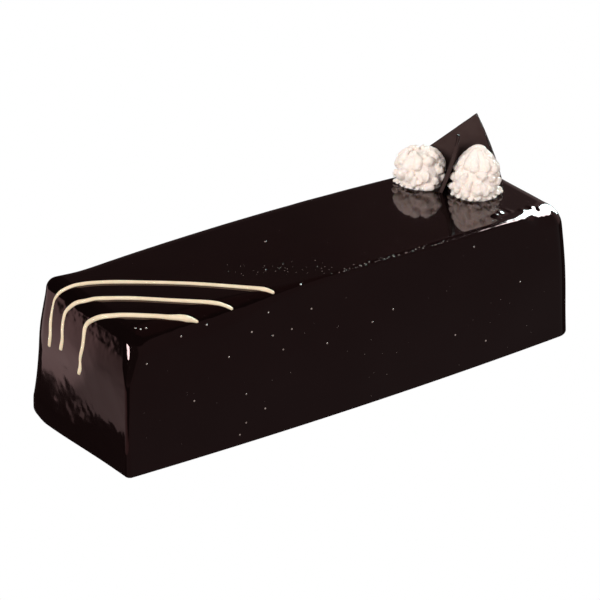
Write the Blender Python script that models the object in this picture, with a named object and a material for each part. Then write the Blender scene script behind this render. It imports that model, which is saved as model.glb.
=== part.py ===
"""A glazed ice cream cake: a long bar under dark chocolate mirror glaze.

Three beads of white chocolate run up the left end, over its top edge and slantwise across
the top. Two piped cream rosettes and two thin chocolate plates stand near the right end.

Metres, +Z up. The bar lies along X, its long front side faces -Y, and the origin is the
centre of the flat underside.
"""

import math

import bmesh
import bpy
from mathutils import Matrix, Vector
from mathutils.bvhtree import BVHTree

MM = 0.001

# The bar. Each wall's profile is (height, distance from the middle), in millimetres, measured at
# the bar's corners and before the top edge rounds off.
BAR_HEIGHT = 78 * MM
BAR_HALF_LENGTH = 150 * MM
LEFT_WALL = ((0, 148.6), (18, 148.8), (36, 148.3), (56, 147.0), (78, 139.6))
RIGHT_WALL = ((0, 150.6), (30, 148.9), (78, 145.0))
FRONT_WALL = ((0, 47.9), (40, 47.2), (78, 43.6))
BACK_WALL = ((0, 47.9), (40, 47.2), (78, 43.6))
# Radius of the upright corners, as (height, radius) in millimetres.
RIGHT_CORNERS = ((0, 10.5), (78, 10.0))
BACK_LEFT_CORNER = ((0, 11.5), (55, 12.0), (78, 5.0))
FRONT_LEFT_CORNER = ((0, 2.6), (48, 2.6), (64, 7.0), (78, 8.5))
# Radius of the round top edge on each side. The front edge is crisp at mid-length and rounder
# towards both ends: (place along the bar, radius) in millimetres.
LEFT_EDGE = 6 * MM
RIGHT_EDGE = 12 * MM
BACK_EDGE = 12.5 * MM
FRONT_EDGE = (
    (-160, 14), (-100, 12.5), (-80, 10.5), (-60, 6.5), (-40, 4), (-20, 3), (85, 3), (105, 6),
    (125, 11), (160, 13),
)
CRISPEST = 3 * MM
ROUNDEST = 14 * MM
FOOT_ROUNDING = 0.35 * MM
SIDE_BULGE = 3.9 * MM
TOP_CROWN = 3.4 * MM
GLAZE_WAVE = 0.4 * MM
MIDDLE_STRIP = 3 * MM
# The left end swells out low down: how far, round which line, how wide, and over which heights
# it fades away.
SWELL = 3.3 * MM
SWELL_MIDDLE = 28 * MM
SWELL_WIDTH = 44 * MM
SWELL_FADES = (10 * MM, 40 * MM)
# Everything is moved along the bar by this much at the end, so that the swell stays centred too.
CENTRING = 0.71 * MM

# Gap that pieces keep where they rest on each other.
GAP = 0.3 * MM

# Beads of white chocolate.
BEAD_RADIUS = 1.55 * MM
BEAD_RISE = 0.35 * MM
BEAD_SIDES = 8
BEAD_STEP = 3.4 * MM
# Share of the full radius at the low end, in the blob above it, and at the far end.
BEAD_TIP, BEAD_BLOB, BEAD_TAIL = 0.6, 1.22, 0.7

# Points that each bead runs through, in millimetres: up the left end, over its top edge, and
# slantwise across the top to the front edge.
BEADS = (
    (
        (-147, 29, 44), (-147, 28, 57), (-144, 29, 69), (-140, 27, 76), (-134, 24, 79),
        (-120, 16, 79), (-93, -7, 80), (-71, -27, 81), (-62, -35.4, 81), (-58, -40, 81),
        (-56, -43, 80.4), (-53.8, -45.5, 79),
    ),
    (
        (-147, 18, 46), (-146, 18, 60), (-144, 19.2, 66), (-141.6, 13.8, 74), (-134, 4.8, 79),
        (-125, -1.6, 79), (-103, -22.1, 80), (-93, -32.4, 80), (-88, -37.3, 79.7), (-84, -40.4, 78.8),
        (-81.5, -42.8, 77.4), (-79.3, -44.5, 76),
    ),
    (
        (-147, -0.3, 40), (-147, -0.4, 50), (-145.5, -1.7, 62), (-143.6, -3, 69), (-140.5, -10, 75),
        (-132, -19.6, 79), (-121, -30.8, 79), (-116, -35.4, 79), (-110, -38.3, 78), (-105.8, -40.3, 77),
        (-101.5, -43.2, 75),
    ),
)

# Cream rosettes, piped with a star nozzle. Places are the foot's centre, in millimetres.
ROSETTE_RIDGES = 11
RIDGE_COLUMNS = 4
RIDGE_DEPTH = 0.19
ROSETTES = {
    "cream_rosette_back": dict(
        at=(94.6, 24.6), radius=15.0 * MM, height=20.4 * MM, form="blunt", twist=0.5, turn=0.35
    ),
    "cream_rosette_front": dict(
        at=(111.3, -3.6), radius=15.6 * MM, height=28.8 * MM, form="peaked", twist=0.6, turn=0.0
    ),
}
# Share of the height, of the radius and of the ridges' depth: a low tier of lobes, a waist, and
# an upper tier that closes to the tip.
ROSETTE_FORMS = {
    "peaked": (
        (0.00, 0.95, 0.7),
        (0.04, 1.02, 1.0),
        (0.11, 1.03, 1.0),
        (0.19, 0.98, 1.0),
        (0.27, 0.90, 0.8),
        (0.35, 0.90, 0.8),
        (0.45, 0.94, 1.0),
        (0.54, 0.93, 1.0),
        (0.63, 0.86, 1.0),
        (0.72, 0.72, 1.0),
        (0.81, 0.56, 1.0),
        (0.89, 0.40, 0.8),
        (0.96, 0.20, 0.5),
        (1.00, 0.05, 0.0),
    ),
    "blunt": (
        (0.00, 0.95, 0.7),
        (0.05, 1.02, 1.0),
        (0.14, 1.03, 1.0),
        (0.24, 0.98, 1.0),
        (0.33, 0.91, 0.8),
        (0.43, 0.92, 0.9),
        (0.55, 0.94, 1.0),
        (0.67, 0.93, 1.0),
        (0.78, 0.87, 1.0),
        (0.87, 0.76, 1.0),
        (0.94, 0.58, 0.8),
        (0.98, 0.27, 0.5),
        (1.00, 0.06, 0.0),
    ),
}
# Shares of the radius at which the underside follows the glaze.
ROSETTE_UNDERSIDE = (0.15, 0.4, 0.62, 0.8)
# Room that the slim plate takes out of each rosette beyond its left and right faces: a gap on
# the rosette's own side, and all the cream that would stand on the other side.
SWEPT = 12 * MM
PRESSED = {"cream_rosette_back": (GAP, SWEPT), "cream_rosette_front": (SWEPT, GAP)}

# Chocolate plates. The tall one is a rhombus that stands behind both rosettes, in line with them.
PLATE_THICKNESS = 1.8 * MM
TALL_SIDE = 43.6 * MM
TALL_FOOT = (131.2 * MM, -4.0 * MM)
TALL_HEADING = math.radians(118)
TALL_RIGHT_LEAN = math.radians(23.8)
TALL_LEFT_DROP = math.radians(42.3)
TALL_EDGE_BOW = 1.4 * MM

# The slim one stands between the rosettes, tilted and bowed, and narrows to a point.
SLIM_FOOT = (94.2 * MM, 5.1 * MM)
SLIM_HEADING = math.radians(46)
SLIM_TILT = math.radians(14)
SLIM_HEIGHT = 36.5 * MM
SLIM_WIDTH = 22 * MM
SLIM_TIP_WIDTH = 1.2 * MM
SLIM_SHOULDER = 21 * MM
SLIM_BOW = 1.2 * MM
SLIM_STEPS = 12


# ---------------------------------------------------------------- helpers


def material(name, colour, roughness):
    """A plain finish of one colour."""
    made = bpy.data.materials.new(name)
    made.use_nodes = True
    shader = made.node_tree.nodes["Principled BSDF"]
    shader.inputs["Base Color"].default_value = (*colour, 1.0)
    shader.inputs["Roughness"].default_value = roughness
    shader.inputs["Metallic"].default_value = 0.0
    return made


def object_from_rings(name, rings, finish):
    """A closed solid through a stack of rings that all have the same number of points."""
    mesh = bmesh.new()
    rows = [[mesh.verts.new(point) for point in ring] for ring in rings]
    for lower, upper in zip(rows, rows[1:]):
        for i, here in enumerate(lower):
            after = (i + 1) % len(lower)
            mesh.faces.new((here, lower[after], upper[after], upper[i]))
    mesh.faces.new(list(reversed(rows[0])))
    mesh.faces.new(rows[-1])
    bmesh.ops.recalc_face_normals(mesh, faces=mesh.faces)
    bmesh.ops.triangulate(mesh, faces=[face for face in mesh.faces if len(face.verts) > 4])
    data = bpy.data.meshes.new(name)
    mesh.to_mesh(data)
    mesh.free()
    data.materials.append(finish)
    data.shade_smooth()
    data.set_sharp_from_angle(angle=math.radians(40))
    return bpy.data.objects.new(name, data)


def apply_modifiers(item):
    """Replaces the object's mesh with the one that its modifiers make."""
    bpy.context.view_layer.update()
    graph = bpy.context.evaluated_depsgraph_get()
    item.data = bpy.data.meshes.new_from_object(item.evaluated_get(graph))
    item.modifiers.clear()


def smooth_path(points, step):
    """Points about a step apart on a smooth curve through the given ones."""
    ends = [points[0] * 2 - points[1], *points, points[-1] * 2 - points[-2]]
    path = []
    for a, b, c, d in zip(ends, ends[1:], ends[2:], ends[3:]):
        pieces = max(1, round((c - b).length / step))
        for k in range(pieces):
            t = k / pieces
            bend = (a * 2 - b * 5 + c * 4 - d) * t * t + (b * 3 - a - c * 3 + d) * t**3
            path.append((b * 2 + (c - a) * t + bend) / 2)
    return [*path, points[-1]]


# ---------------------------------------------------------------- the glazed bar


def bar_levels(side_steps, edge_steps, top_steps):
    """(height, share of the way in over the flat top) up the side, round the edge and over the top."""
    edge_start = BAR_HEIGHT - ROUNDEST
    levels = [(0.0, 0.0), (FOOT_ROUNDING, 0.0)]
    for k in range(1, side_steps + 1):
        levels.append((FOOT_ROUNDING + (edge_start - FOOT_ROUNDING) * k / side_steps, 0.0))
    for k in range(1, edge_steps + 1):
        levels.append((edge_start + ROUNDEST * math.sin(math.pi / 2 * k / edge_steps), 0.0))
    for k in range(1, top_steps + 1):
        levels.append((BAR_HEIGHT, k / top_steps))
    return levels


def profile_at(profile, height):
    """The value at that height on a smooth curve through the profile's (height, value) pairs."""
    heights = [pair[0] * MM for pair in profile]
    values = [pair[1] * MM for pair in profile]
    last = len(profile) - 1
    slopes = []
    for i in range(last + 1):
        before, after = max(i - 1, 0), min(i + 1, last)
        slopes.append((values[after] - values[before]) / (heights[after] - heights[before]))
    i = max(k for k in range(last) if heights[k] <= height)
    span = heights[i + 1] - heights[i]
    t = (height - heights[i]) / span
    ease = t * t * (3 - 2 * t)
    start = slopes[i] * span * t * (1 - t) ** 2
    end = slopes[i + 1] * span * t * t * (1 - t)
    return values[i] * (1 - ease) + values[i + 1] * ease + start - end


def edge_inset(height, radius):
    """How far a round top edge has drawn in at that height."""
    depth = max(0.0, height - (BAR_HEIGHT - radius))
    inset = radius - math.sqrt(max(0.0, radius * radius - depth * depth))
    return FOOT_ROUNDING if height == 0 else inset


def rounded_rectangle(left, right, front, back, radii, corner_steps, long_steps, short_steps):
    """Counter-clockwise points of a rectangle with round corners, from its four edge lines.

    radii are those of the corners right back, left back, left front and right front.
    """
    insides = ((right, back, -1, -1), (left, back, 1, -1), (left, front, 1, 1), (right, front, -1, 1))
    centres = [(x + r * in_x, y + r * in_y) for (x, y, in_x, in_y), r in zip(insides, radii)]
    arcs = []
    for quarter, ((x, y), r) in enumerate(zip(centres, radii)):
        turns = [math.pi / 2 * (quarter + k / corner_steps) for k in range(corner_steps + 1)]
        arcs.append([(x + r * math.cos(turn), y + r * math.sin(turn)) for turn in turns])
    points = []
    for quarter, arc in enumerate(arcs):
        start, end = arc[-1], arcs[(quarter + 1) % 4][0]
        steps = long_steps if quarter % 2 == 0 else short_steps
        points += arc
        for k in range(1, steps):
            share = k / steps
            points.append((start[0] + (end[0] - start[0]) * share, start[1] + (end[1] - start[1]) * share))
    return points


def glaze_wave(x, y, z):
    """How far the glaze stands out or in on a side wall: slow waves, with runs down the left end."""
    slow = math.sin(61 * x + 1.3) * math.sin(47 * z + 0.4) + 0.6 * math.sin(110 * x + 90 * z)
    runs = math.sin(260 * y + 1.1 * math.sin(90 * z)) + 0.7 * math.sin(430 * y - 60 * z)
    left_end = max(0.0, min(1.0, (-x / BAR_HALF_LENGTH - 0.92) / 0.06))
    share = z / BAR_HEIGHT
    fade = max(0.0, min(1.0, 6 * share, 6 * (1 - share)))
    return GLAZE_WAVE * fade * (0.45 * slow + 0.6 * left_end * runs)


def end_swell(x, y, z):
    """How far the left end swells out near its foot."""
    full, gone = SWELL_FADES
    fade = max(0.0, min(1.0, (gone - z) / (gone - full)))
    left_end = max(0.0, min(1.0, (-x / BAR_HALF_LENGTH - 0.86) / 0.12))
    return SWELL * left_end * fade * fade * math.exp(-(((y - SWELL_MIDDLE) / SWELL_WIDTH) ** 2))


def bar_ring(height, inwards, steps):
    """One level of the bar: drafted, bulging at mid-length, and crowned along the top."""
    share = height / BAR_HEIGHT
    wall = profile_at(FRONT_WALL, height)
    front = wall - edge_inset(height, CRISPEST)
    back = profile_at(BACK_WALL, height) - edge_inset(height, BACK_EDGE)
    top_inset = inwards * (back - MIDDLE_STRIP / 2)
    shrink = edge_inset(height, RIGHT_EDGE) / 2 + top_inset
    corners = (RIGHT_CORNERS, BACK_LEFT_CORNER, FRONT_LEFT_CORNER, RIGHT_CORNERS)
    outline = rounded_rectangle(
        edge_inset(height, LEFT_EDGE) + top_inset - profile_at(LEFT_WALL, height),
        profile_at(RIGHT_WALL, height) - edge_inset(height, RIGHT_EDGE) - top_inset,
        -front * (1 - inwards) - MIDDLE_STRIP / 2 * inwards,
        back - top_inset,
        [max(profile_at(corner, height) - shrink, 0.4 * MM) for corner in corners],
        *steps,
    )
    ring = []
    for x, y in outline:
        if y < 0:
            y *= (wall - edge_inset(height, profile_at(FRONT_EDGE, x))) / front
        middle = 1 - (x / BAR_HALF_LENGTH) ** 2
        out = 1 + glaze_wave(x, y, height) / math.hypot(x, y)
        bulge = 1 + SIDE_BULGE / (FRONT_WALL[0][1] * MM) * middle
        along = x * out - end_swell(x, y, height)
        ring.append(Vector((along, y * out * bulge, height + TOP_CROWN * middle * share)))
    return ring


def make_bar(finish):
    steps = (4, 24, 10)  # corner, long side, short side
    rings = [bar_ring(height, inwards, steps) for height, inwards in bar_levels(8, 10, 3)]
    return object_from_rings("cake", rings, finish)


# ---------------------------------------------------------------- white chocolate beads


def bead_radius(place, count):
    """Radius of a bead's ring: a blob just above the low end and a thin far end."""
    if place == 0:
        return BEAD_RADIUS * BEAD_TIP
    if place == 1:
        return BEAD_RADIUS * BEAD_BLOB
    left = count - 1 - place
    return BEAD_RADIUS * (BEAD_TAIL + (1 - BEAD_TAIL) * min(1.0, left / 2))


def bead_rings(waypoints, surface):
    """Rings of a bead that lies on the surface."""
    centres, normals = [], []
    for place in smooth_path([Vector(point) * MM for point in waypoints], BEAD_STEP):
        point, normal, _, _ = surface.find_nearest(place)
        centres.append(point + normal * BEAD_RISE)
        normals.append(normal)
    rings = []
    for i, (centre, normal) in enumerate(zip(centres, normals)):
        ahead = centres[min(i + 1, len(centres) - 1)] - centres[max(i - 1, 0)]
        side = ahead.cross(normal).normalized()
        up = side.cross(ahead).normalized()
        radius = bead_radius(i, len(centres))
        ring = []
        for k in range(BEAD_SIDES):
            angle = 2 * math.pi * k / BEAD_SIDES
            ring.append(centre + (side * math.cos(angle) + up * math.sin(angle)) * radius)
        rings.append(ring)
    return rings


def fuse_beads(cake, surface, finish):
    """Joins the beads to the bar with one union."""
    beads = bpy.data.collections.new("beads")
    bpy.context.scene.collection.children.link(beads)
    for i, bead in enumerate(BEADS):
        beads.objects.link(object_from_rings(f"bead_{i}", bead_rings(bead, surface), finish))
    join = cake.modifiers.new("beads", "BOOLEAN")
    join.operation = "UNION"
    join.operand_type = "COLLECTION"
    join.collection = beads
    join.solver = "EXACT"
    apply_modifiers(cake)
    for bead in list(beads.objects):
        bpy.data.objects.remove(bead)
    bpy.data.collections.remove(beads)


# ---------------------------------------------------------------- cream rosettes


def height_of_top(surface, x, y):
    """Height of the glazed surface under (x, y)."""
    above = Vector((x, y, 2 * BAR_HEIGHT))
    point, _, _, _ = surface.ray_cast(above, Vector((0, 0, -1)))
    return point.z


def lobe(angle):
    """A star nozzle's outline: round ridges with sharp creases between, from 0 to 1."""
    return abs(math.cos(angle * ROSETTE_RIDGES / 2)) ** 0.8


def rosette_rings(surface, at, radius, height, form, twist, turn):
    """The underside, resting on the glaze, then two tiers of ridges that turn as they rise."""
    centre = Vector(at) * MM
    level = height_of_top(surface, *centre)
    columns = ROSETTE_RIDGES * RIDGE_COLUMNS
    levels = [(0.0, wide, 0.0) for wide in ROSETTE_UNDERSIDE] + list(ROSETTE_FORMS[form])
    rings = []
    for rise, wide, deep in levels:
        ring = []
        for k in range(columns):
            angle = 2 * math.pi * k / columns
            out = radius * wide * (1 - RIDGE_DEPTH * deep * (1 - lobe(angle)))
            turned = angle + turn + twist * rise
            x = centre.x + out * math.cos(turned)
            y = centre.y + out * math.sin(turned)
            settle = (height_of_top(surface, x, y) - level) * max(0.0, 1 - 3 * rise)
            ring.append(Vector((x, y, level + GAP + settle + height * rise)))
        rings.append(ring)
    return rings


# ---------------------------------------------------------------- chocolate plates


def tall_outline():
    """(along, up) points from the right foot: bowed right side, apex, left corner and foot."""
    lean = Vector((-math.sin(TALL_RIGHT_LEAN), math.cos(TALL_RIGHT_LEAN)))
    outward = Vector((lean.y, -lean.x))
    apex = lean * TALL_SIDE
    left = apex - Vector((math.cos(TALL_LEFT_DROP), math.sin(TALL_LEFT_DROP))) * TALL_SIDE
    left_foot = left - lean * (left.y / lean.y)
    steps = 6
    outline = []
    for k in range(steps):
        share = k / steps
        outline.append(apex * share + outward * TALL_EDGE_BOW * 4 * share * (1 - share))
    outline += [apex, left]
    outline += [left_foot * (1 - k / steps) for k in range(steps)]
    return outline


def tall_rings(surface):
    """The tall plate's two faces. Its foot follows the glaze."""
    along = Vector((-math.cos(TALL_HEADING), -math.sin(TALL_HEADING), 0))
    through = Vector((-along.y, along.x, 0))
    level = height_of_top(surface, *TALL_FOOT)
    rings = []
    for side in (-0.5, 0.5):
        ring = []
        for sideways, up in tall_outline():
            point = Vector((*TALL_FOOT, 0)) + along * sideways + through * PLATE_THICKNESS * side
            ground = height_of_top(surface, point.x, point.y) if up < GAP else level
            ring.append(point + Vector((0, 0, ground + GAP + up)))
        rings.append(ring)
    return rings


def slim_rings(surface, room=0.0, left_room=0.0, right_room=0.0):
    """The slim plate from foot to tip, larger by the given room round its edge and on each face."""
    back = Vector((math.cos(SLIM_HEADING), math.sin(SLIM_HEADING), 0))
    right = Vector((back.y, -back.x, 0))
    rise = right * math.sin(SLIM_TILT) + Vector((0, 0, math.cos(SLIM_TILT)))
    through = back.cross(rise)
    level = height_of_top(surface, *SLIM_FOOT) + GAP
    left = -PLATE_THICKNESS / 2 - left_room
    far = PLATE_THICKNESS / 2 + right_room
    rings = []
    for k in range(SLIM_STEPS + 1):
        share = k / SLIM_STEPS
        up = SLIM_HEIGHT * share
        past_shoulder = max(0.0, (up - SLIM_SHOULDER) / (SLIM_HEIGHT - SLIM_SHOULDER))
        width = SLIM_WIDTH + (SLIM_TIP_WIDTH - SLIM_WIDTH) * past_shoulder
        bowed = rise * up + through * SLIM_BOW * 4 * share * (1 - share)
        ring = []
        for along, side in ((-room, left), (width + room, left), (width + room, far), (-room, far)):
            point = Vector((*SLIM_FOOT, level)) + back * along + bowed + through * side
            if k == 0:
                point.z = height_of_top(surface, point.x, point.y) + GAP - room
            ring.append(point)
        rings.append(ring)
    return rings


def press_against(rosette, surface, left_room, right_room):
    """Cuts away the cream that the slim plate has pushed aside, with a gap left all round it."""
    shape = slim_rings(surface, GAP, left_room, right_room)
    cutter = object_from_rings("room", shape, rosette.data.materials[0])
    bpy.context.scene.collection.objects.link(cutter)
    cut = rosette.modifiers.new("room", "BOOLEAN")
    cut.object = cutter
    cut.operation = "DIFFERENCE"
    cut.solver = "EXACT"
    apply_modifiers(rosette)
    bpy.data.objects.remove(cutter)


# ---------------------------------------------------------------- the whole cake


def main():
    for item in list(bpy.data.objects):
        bpy.data.objects.remove(item)
    glaze = material("dark_glaze", (0.012, 0.006, 0.006), 0.06)
    cream = material("whipped_cream", (0.93, 0.86, 0.79), 0.6)
    chocolate = material("dark_chocolate", (0.03, 0.018, 0.016), 0.35)
    scene = bpy.context.scene.collection.objects

    cake = make_bar(glaze)
    scene.link(cake)
    bpy.context.view_layer.update()
    surface = BVHTree.FromObject(cake, bpy.context.evaluated_depsgraph_get())
    fuse_beads(cake, surface, glaze)

    for name, facts in ROSETTES.items():
        rosette = object_from_rings(name, rosette_rings(surface, **facts), cream)
        scene.link(rosette)
        press_against(rosette, surface, *PRESSED[name])
    scene.link(object_from_rings("chocolate_plate_tall", tall_rings(surface), chocolate))
    scene.link(object_from_rings("chocolate_plate_slim", slim_rings(surface), chocolate))

    for item in bpy.data.objects:
        item.data.transform(Matrix.Translation((CENTRING, 0, 0)))


main()
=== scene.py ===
"""Dresses the packed ice cream cake: glaze, piped lines, cream, chocolate plates and a studio.

Metres, +Z up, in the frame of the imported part. Tables hold plain millimetres and degrees.
"""

import itertools
import math

import bmesh
import bpy
import numpy as np
from mathutils import Matrix, Vector
from mathutils.bvhtree import BVHTree


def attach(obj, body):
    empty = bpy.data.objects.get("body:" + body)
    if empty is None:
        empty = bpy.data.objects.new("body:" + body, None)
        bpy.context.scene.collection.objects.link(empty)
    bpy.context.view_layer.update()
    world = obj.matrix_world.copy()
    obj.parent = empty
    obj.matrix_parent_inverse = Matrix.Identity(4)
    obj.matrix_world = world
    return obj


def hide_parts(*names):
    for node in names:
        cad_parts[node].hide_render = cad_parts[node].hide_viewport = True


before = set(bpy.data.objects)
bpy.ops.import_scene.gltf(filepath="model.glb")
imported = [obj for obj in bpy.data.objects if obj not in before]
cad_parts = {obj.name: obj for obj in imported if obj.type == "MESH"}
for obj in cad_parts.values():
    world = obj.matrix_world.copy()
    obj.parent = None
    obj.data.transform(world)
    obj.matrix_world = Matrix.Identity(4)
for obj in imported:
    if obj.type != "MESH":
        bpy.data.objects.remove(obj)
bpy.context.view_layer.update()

MM = 0.001

# ---- numbers of the part

# The walls' profiles and the upright corners are (height, distance or radius) in millimetres.
BAR_HEIGHT = 78 * MM
BAR_HALF_LENGTH = 150 * MM
LEFT_WALL = ((0, 148.6), (18, 148.8), (36, 148.4), (56, 146.5), (78, 139.6))
RIGHT_WALL = ((0, 150.6), (30, 148.9), (78, 145.0))
LONG_WALLS = ((0, 47.9), (40, 47.2), (78, 43.6))
RIGHT_CORNERS = ((0, 10.5), (78, 10.0))
BACK_LEFT_CORNER = ((0, 11.5), (55, 12.0), (78, 5.0))
FRONT_LEFT_CORNER = ((0, 2.6), (48, 2.6), (64, 7.0), (78, 8.5))
LEFT_EDGE = 6 * MM
RIGHT_EDGE = 12 * MM
# The long edges' radii change along the bar: (place along the bar, radius).
BACK_EDGE = ((-160, 4), (-142, 6), (-122, 12), (-100, 12.5), (160, 12.5))
FRONT_EDGE = (
    (-160, 14), (-100, 12.5), (-80, 10.5), (-60, 6.5), (-40, 4), (-20, 3), (85, 3), (105, 3.8),
    (115, 5.6), (125, 10.5), (160, 13),
)
CRISPEST = 3 * MM
ROUNDEST = 14 * MM
SMALLEST_CORNER = 0.4 * MM
FOOT_ROUNDING = 0.35 * MM
SIDE_BULGE = 3.9 * MM
TOP_CROWN = 3.4 * MM
GLAZE_WAVE = 0.4 * MM
# Share of the solid's runs that the left end keeps: the finer relief carries the rest.
WAVE_ON_END = 0.04
# The left end swells out low down: how far, round which line, how wide, and where it fades away.
SWELL = 3.3 * MM
SWELL_MIDDLE = 28 * MM
SWELL_WIDTH = 44 * MM
SWELL_FADES = (10 * MM, 40 * MM)
# The far left corner of the foot is lifted. The top sinks towards the near left corner, by a share
# of the squared distance past a slanting line.
FOOT_LIFT = 4.2 * MM
SAG_PER_METRE = 0.35
SAG_STARTS = 62 * MM
# Everything is moved along the bar by this much, so that the swell stays centred too.
CENTRING = 0.71 * MM
# Gap that the plates keep from the glaze and from the cream.
GAP = 0.3 * MM

# Steps along each rounded corner, each long side and each short side of a ring round the bar, and
# levels up its side, round its top edge and over its top, up to a narrow strip along the middle.
CORNER_STEPS, LONG_STEPS, SHORT_STEPS = 14, 250, 100
SIDE_LEVELS, EDGE_LEVELS, TOP_LEVELS = 50, 46, 34
MIDDLE_STRIP = 0.5 * MM

# Heights of the glaze's relief in millimetres: streaks and knobs on the left end, and slow waves,
# ripples and knobs elsewhere.
STREAKS, FINE_STREAKS, END_KNOBS = 0.034, 0.016, 0.034
WAVES, TOP_RIPPLES, FRONT_RIPPLES = 0.10, 0.012, 0.010
EDGE_RIPPLES, EDGE_KNOBS, RIGHT_RIPPLES = 0.10, 0.030, 0.06

BEAD_RADIUS = 1.4 * MM
BEAD_RISE = 0.35 * MM
# Share of a line's length, and its width there as a share of the full width.
BEAD_WIDTHS = (
    (
        (0, 0.85), (0.03, 0.95), (0.09, 0.8), (0.16, 0.56), (0.22, 0.8), (0.34, 0.82), (0.55, 0.73),
        (0.78, 0.71), (0.9, 0.8), (0.96, 0.86), (1, 0.6),
    ),
    (
        (0, 0.95), (0.03, 1.05), (0.08, 0.8), (0.16, 0.8), (0.26, 0.9), (0.5, 0.82), (0.7, 0.78),
        (0.9, 0.87), (1, 0.6),
    ),
    (
        (0, 0.85), (0.04, 1.05), (0.09, 0.7), (0.14, 0.9), (0.25, 0.92), (0.33, 1.04), (0.5, 1.02),
        (0.7, 0.94), (0.8, 0.96), (0.93, 1.3), (1, 0.5),
    ),
)
BEADS_IN_MM = (
    (
        (-148, 28, 44.5), (-147.5, 27.5, 52), (-146.3, 29, 59), (-143.7, 30.3, 67.4), (-142.5, 30.2, 70.6),
        (-140.5, 27.7, 75), (-137, 24.7, 77.6), (-133.5, 22.7, 78.7), (-125.5, 19.4, 79),
        (-111.7, 10, 79.5), (-86, -12, 80.3), (-62.3, -36.3, 80.8), (-59.4, -39.5, 80.9),
        (-56.6, -42.6, 80.5), (-54.4, -44.9, 79.3),
    ),
    (
        (-148, 17, 47), (-147.5, 16, 53.5), (-146.3, 17.7, 59.3), (-144.4, 18.6, 65.3), (-143, 17.8, 69),
        (-140.2, 12, 75), (-137.5, 7, 77.2), (-132, 2.2, 78.6), (-118.5, -8, 79), (-94.3, -31.4, 79.9),
        (-88, -36.8, 79.8), (-84.7, -39.3, 79.2), (-81.7, -42, 77.8), (-79.9, -43.8, 76.6),
    ),
    (
        (-148, -0.8, 40.5), (-148, -2.4, 45), (-147.8, -1.9, 50.3), (-146.8, -2.8, 57.4),
        (-145, -1.8, 63.4), (-144, -1.2, 66.4), (-142.6, -2.5, 70), (-139.6, -10, 75.4), (-135, -18, 78),
        (-128.7, -23.5, 78.4), (-116.2, -34.4, 78.5), (-109, -38.2, 77.6), (-103, -41.6, 75.8),
        (-101, -42.9, 74.8),
    ),
)

# Air bubbles under the glaze, as (place along the bar, height) on the front and (along, across) on top.
FRONT_BUBBLES = (
    (-33, 66), (-58, 57.5), (-97, 73), (-113, 71), (-71, 63), (-46, 58), (-60, 71), (-86, 53), (-52, 48),
    (-24, 44), (77, 72), (109, 43), (-135, 62), (-108, 34), (-76, 29), (-64, 17), (-76, 12), (-80, 6),
    (6, 48), (20, 51.5), (63, 24), (85, 14),
)
TOP_BUBBLES = ((-38, -45.5), (-24, 6.5), (-136, -25), (-134, -34), (-132, -36), (-129, -36.5))
# Lines on top that fine bubbles lie along, as (start, end, number of bubbles, spread), and how near
# the front edge the bubbles come.
BUBBLE_LINES = (((-58, -13), (-8, -42), 46, 4.5), ((-14, -46), (60, -46), 60, 0.6))
FRONTMOST_BUBBLE = -46.2

# Low humps of glaze round the rosettes: (along, across, width, height) in millimetres.
HUMPS = (
    (104.5, -32.6, 3.3, 1.6), (100.2, -34.6, 2.2, 1.1), (111.2, -34.4, 1.6, 0.78), (111.3, -31, 1.2, 0.5),
    (118.6, -36.5, 1.4, 0.5), (114.4, -19, 1.0, 0.45), (125.5, -35.5, 2.0, 0.5), (130, -37.5, 1.8, 0.4),
)

PLATE_THICKNESS = 1.8 * MM
PLATE_RIM = 0.22 * MM
PLATE_LUMPS = ((0.06, 7, 31), (0.03, 2.5, 32))
TALL_SIDE = 43.6 * MM
TALL_FOOT = (131.2 * MM, -4.0 * MM)
TALL_HEADING = math.radians(118)
TALL_RIGHT_LEAN = math.radians(23.8)
TALL_LEFT_DROP = math.radians(42.3)
TALL_EDGE_BOW = 1.4 * MM

SLIM_FOOT = (94.2 * MM, 5.1 * MM)
SLIM_HEADING = math.radians(46)
SLIM_TILT = math.radians(14)
SLIM_HEIGHT = 36.5 * MM
SLIM_WIDTH = 22 * MM
SLIM_TIP_WIDTH = 1.2 * MM
SLIM_SHOULDER = 21 * MM
SLIM_BOW = 1.2 * MM
# The crown is at six tenths of its full height under the slim plate.
SLIM_LEVEL = BAR_HEIGHT + 0.6 * TOP_CROWN

# Steps up the plates, and along each of them.
PLATE_ROWS, TALL_COLUMNS, SLIM_COLUMNS = 60, 60, 40


# ---- helpers


def lattice_value(places, seed):
    """A fixed pseudo-random number from -1 to 1 for each lattice point."""
    ix, iy, iz = places.T
    mask = np.int64(0xFFFFFFFF)
    mixed = (ix * 374761393 + iy * 668265263 + iz * 1442695041 + seed * 69069) & mask
    mixed = ((mixed ^ (mixed >> 13)) * 1274126177) & mask
    mixed = ((mixed ^ (mixed >> 16)) * 668265263) & mask
    mixed = mixed ^ (mixed >> 15)
    return mixed / float(0x7FFFFFFF) - 1.0


def noise(points, size, seed):
    """Smooth noise from about -1 to 1, with features of the given size. points is an n by 3 array."""
    scaled = np.asarray(points) / size + 1000.0
    base = np.floor(scaled).astype(np.int64)
    part = scaled - base
    ease = part**3 * (part * (part * 6 - 15) + 10)
    total = np.zeros(len(scaled))
    for corner in itertools.product((0, 1), repeat=3):
        wx, wy, wz = np.where(corner, ease, 1 - ease).T
        total += wx * wy * wz * lattice_value(base + corner, seed)
    return total


def lumps(points, layers):
    """Uneven heights in metres. layers are (height, size, seed), in millimetres."""
    return sum(height * MM * noise(points, size * MM, seed) for height, size, seed in layers)


def ramp(low, high, value):
    """0 at low, 1 at high, and smooth between. high may be the smaller one."""
    share = np.clip((np.asarray(value, dtype=float) - low) / (high - low), 0, 1)
    return share * share * (3 - 2 * share)


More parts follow.
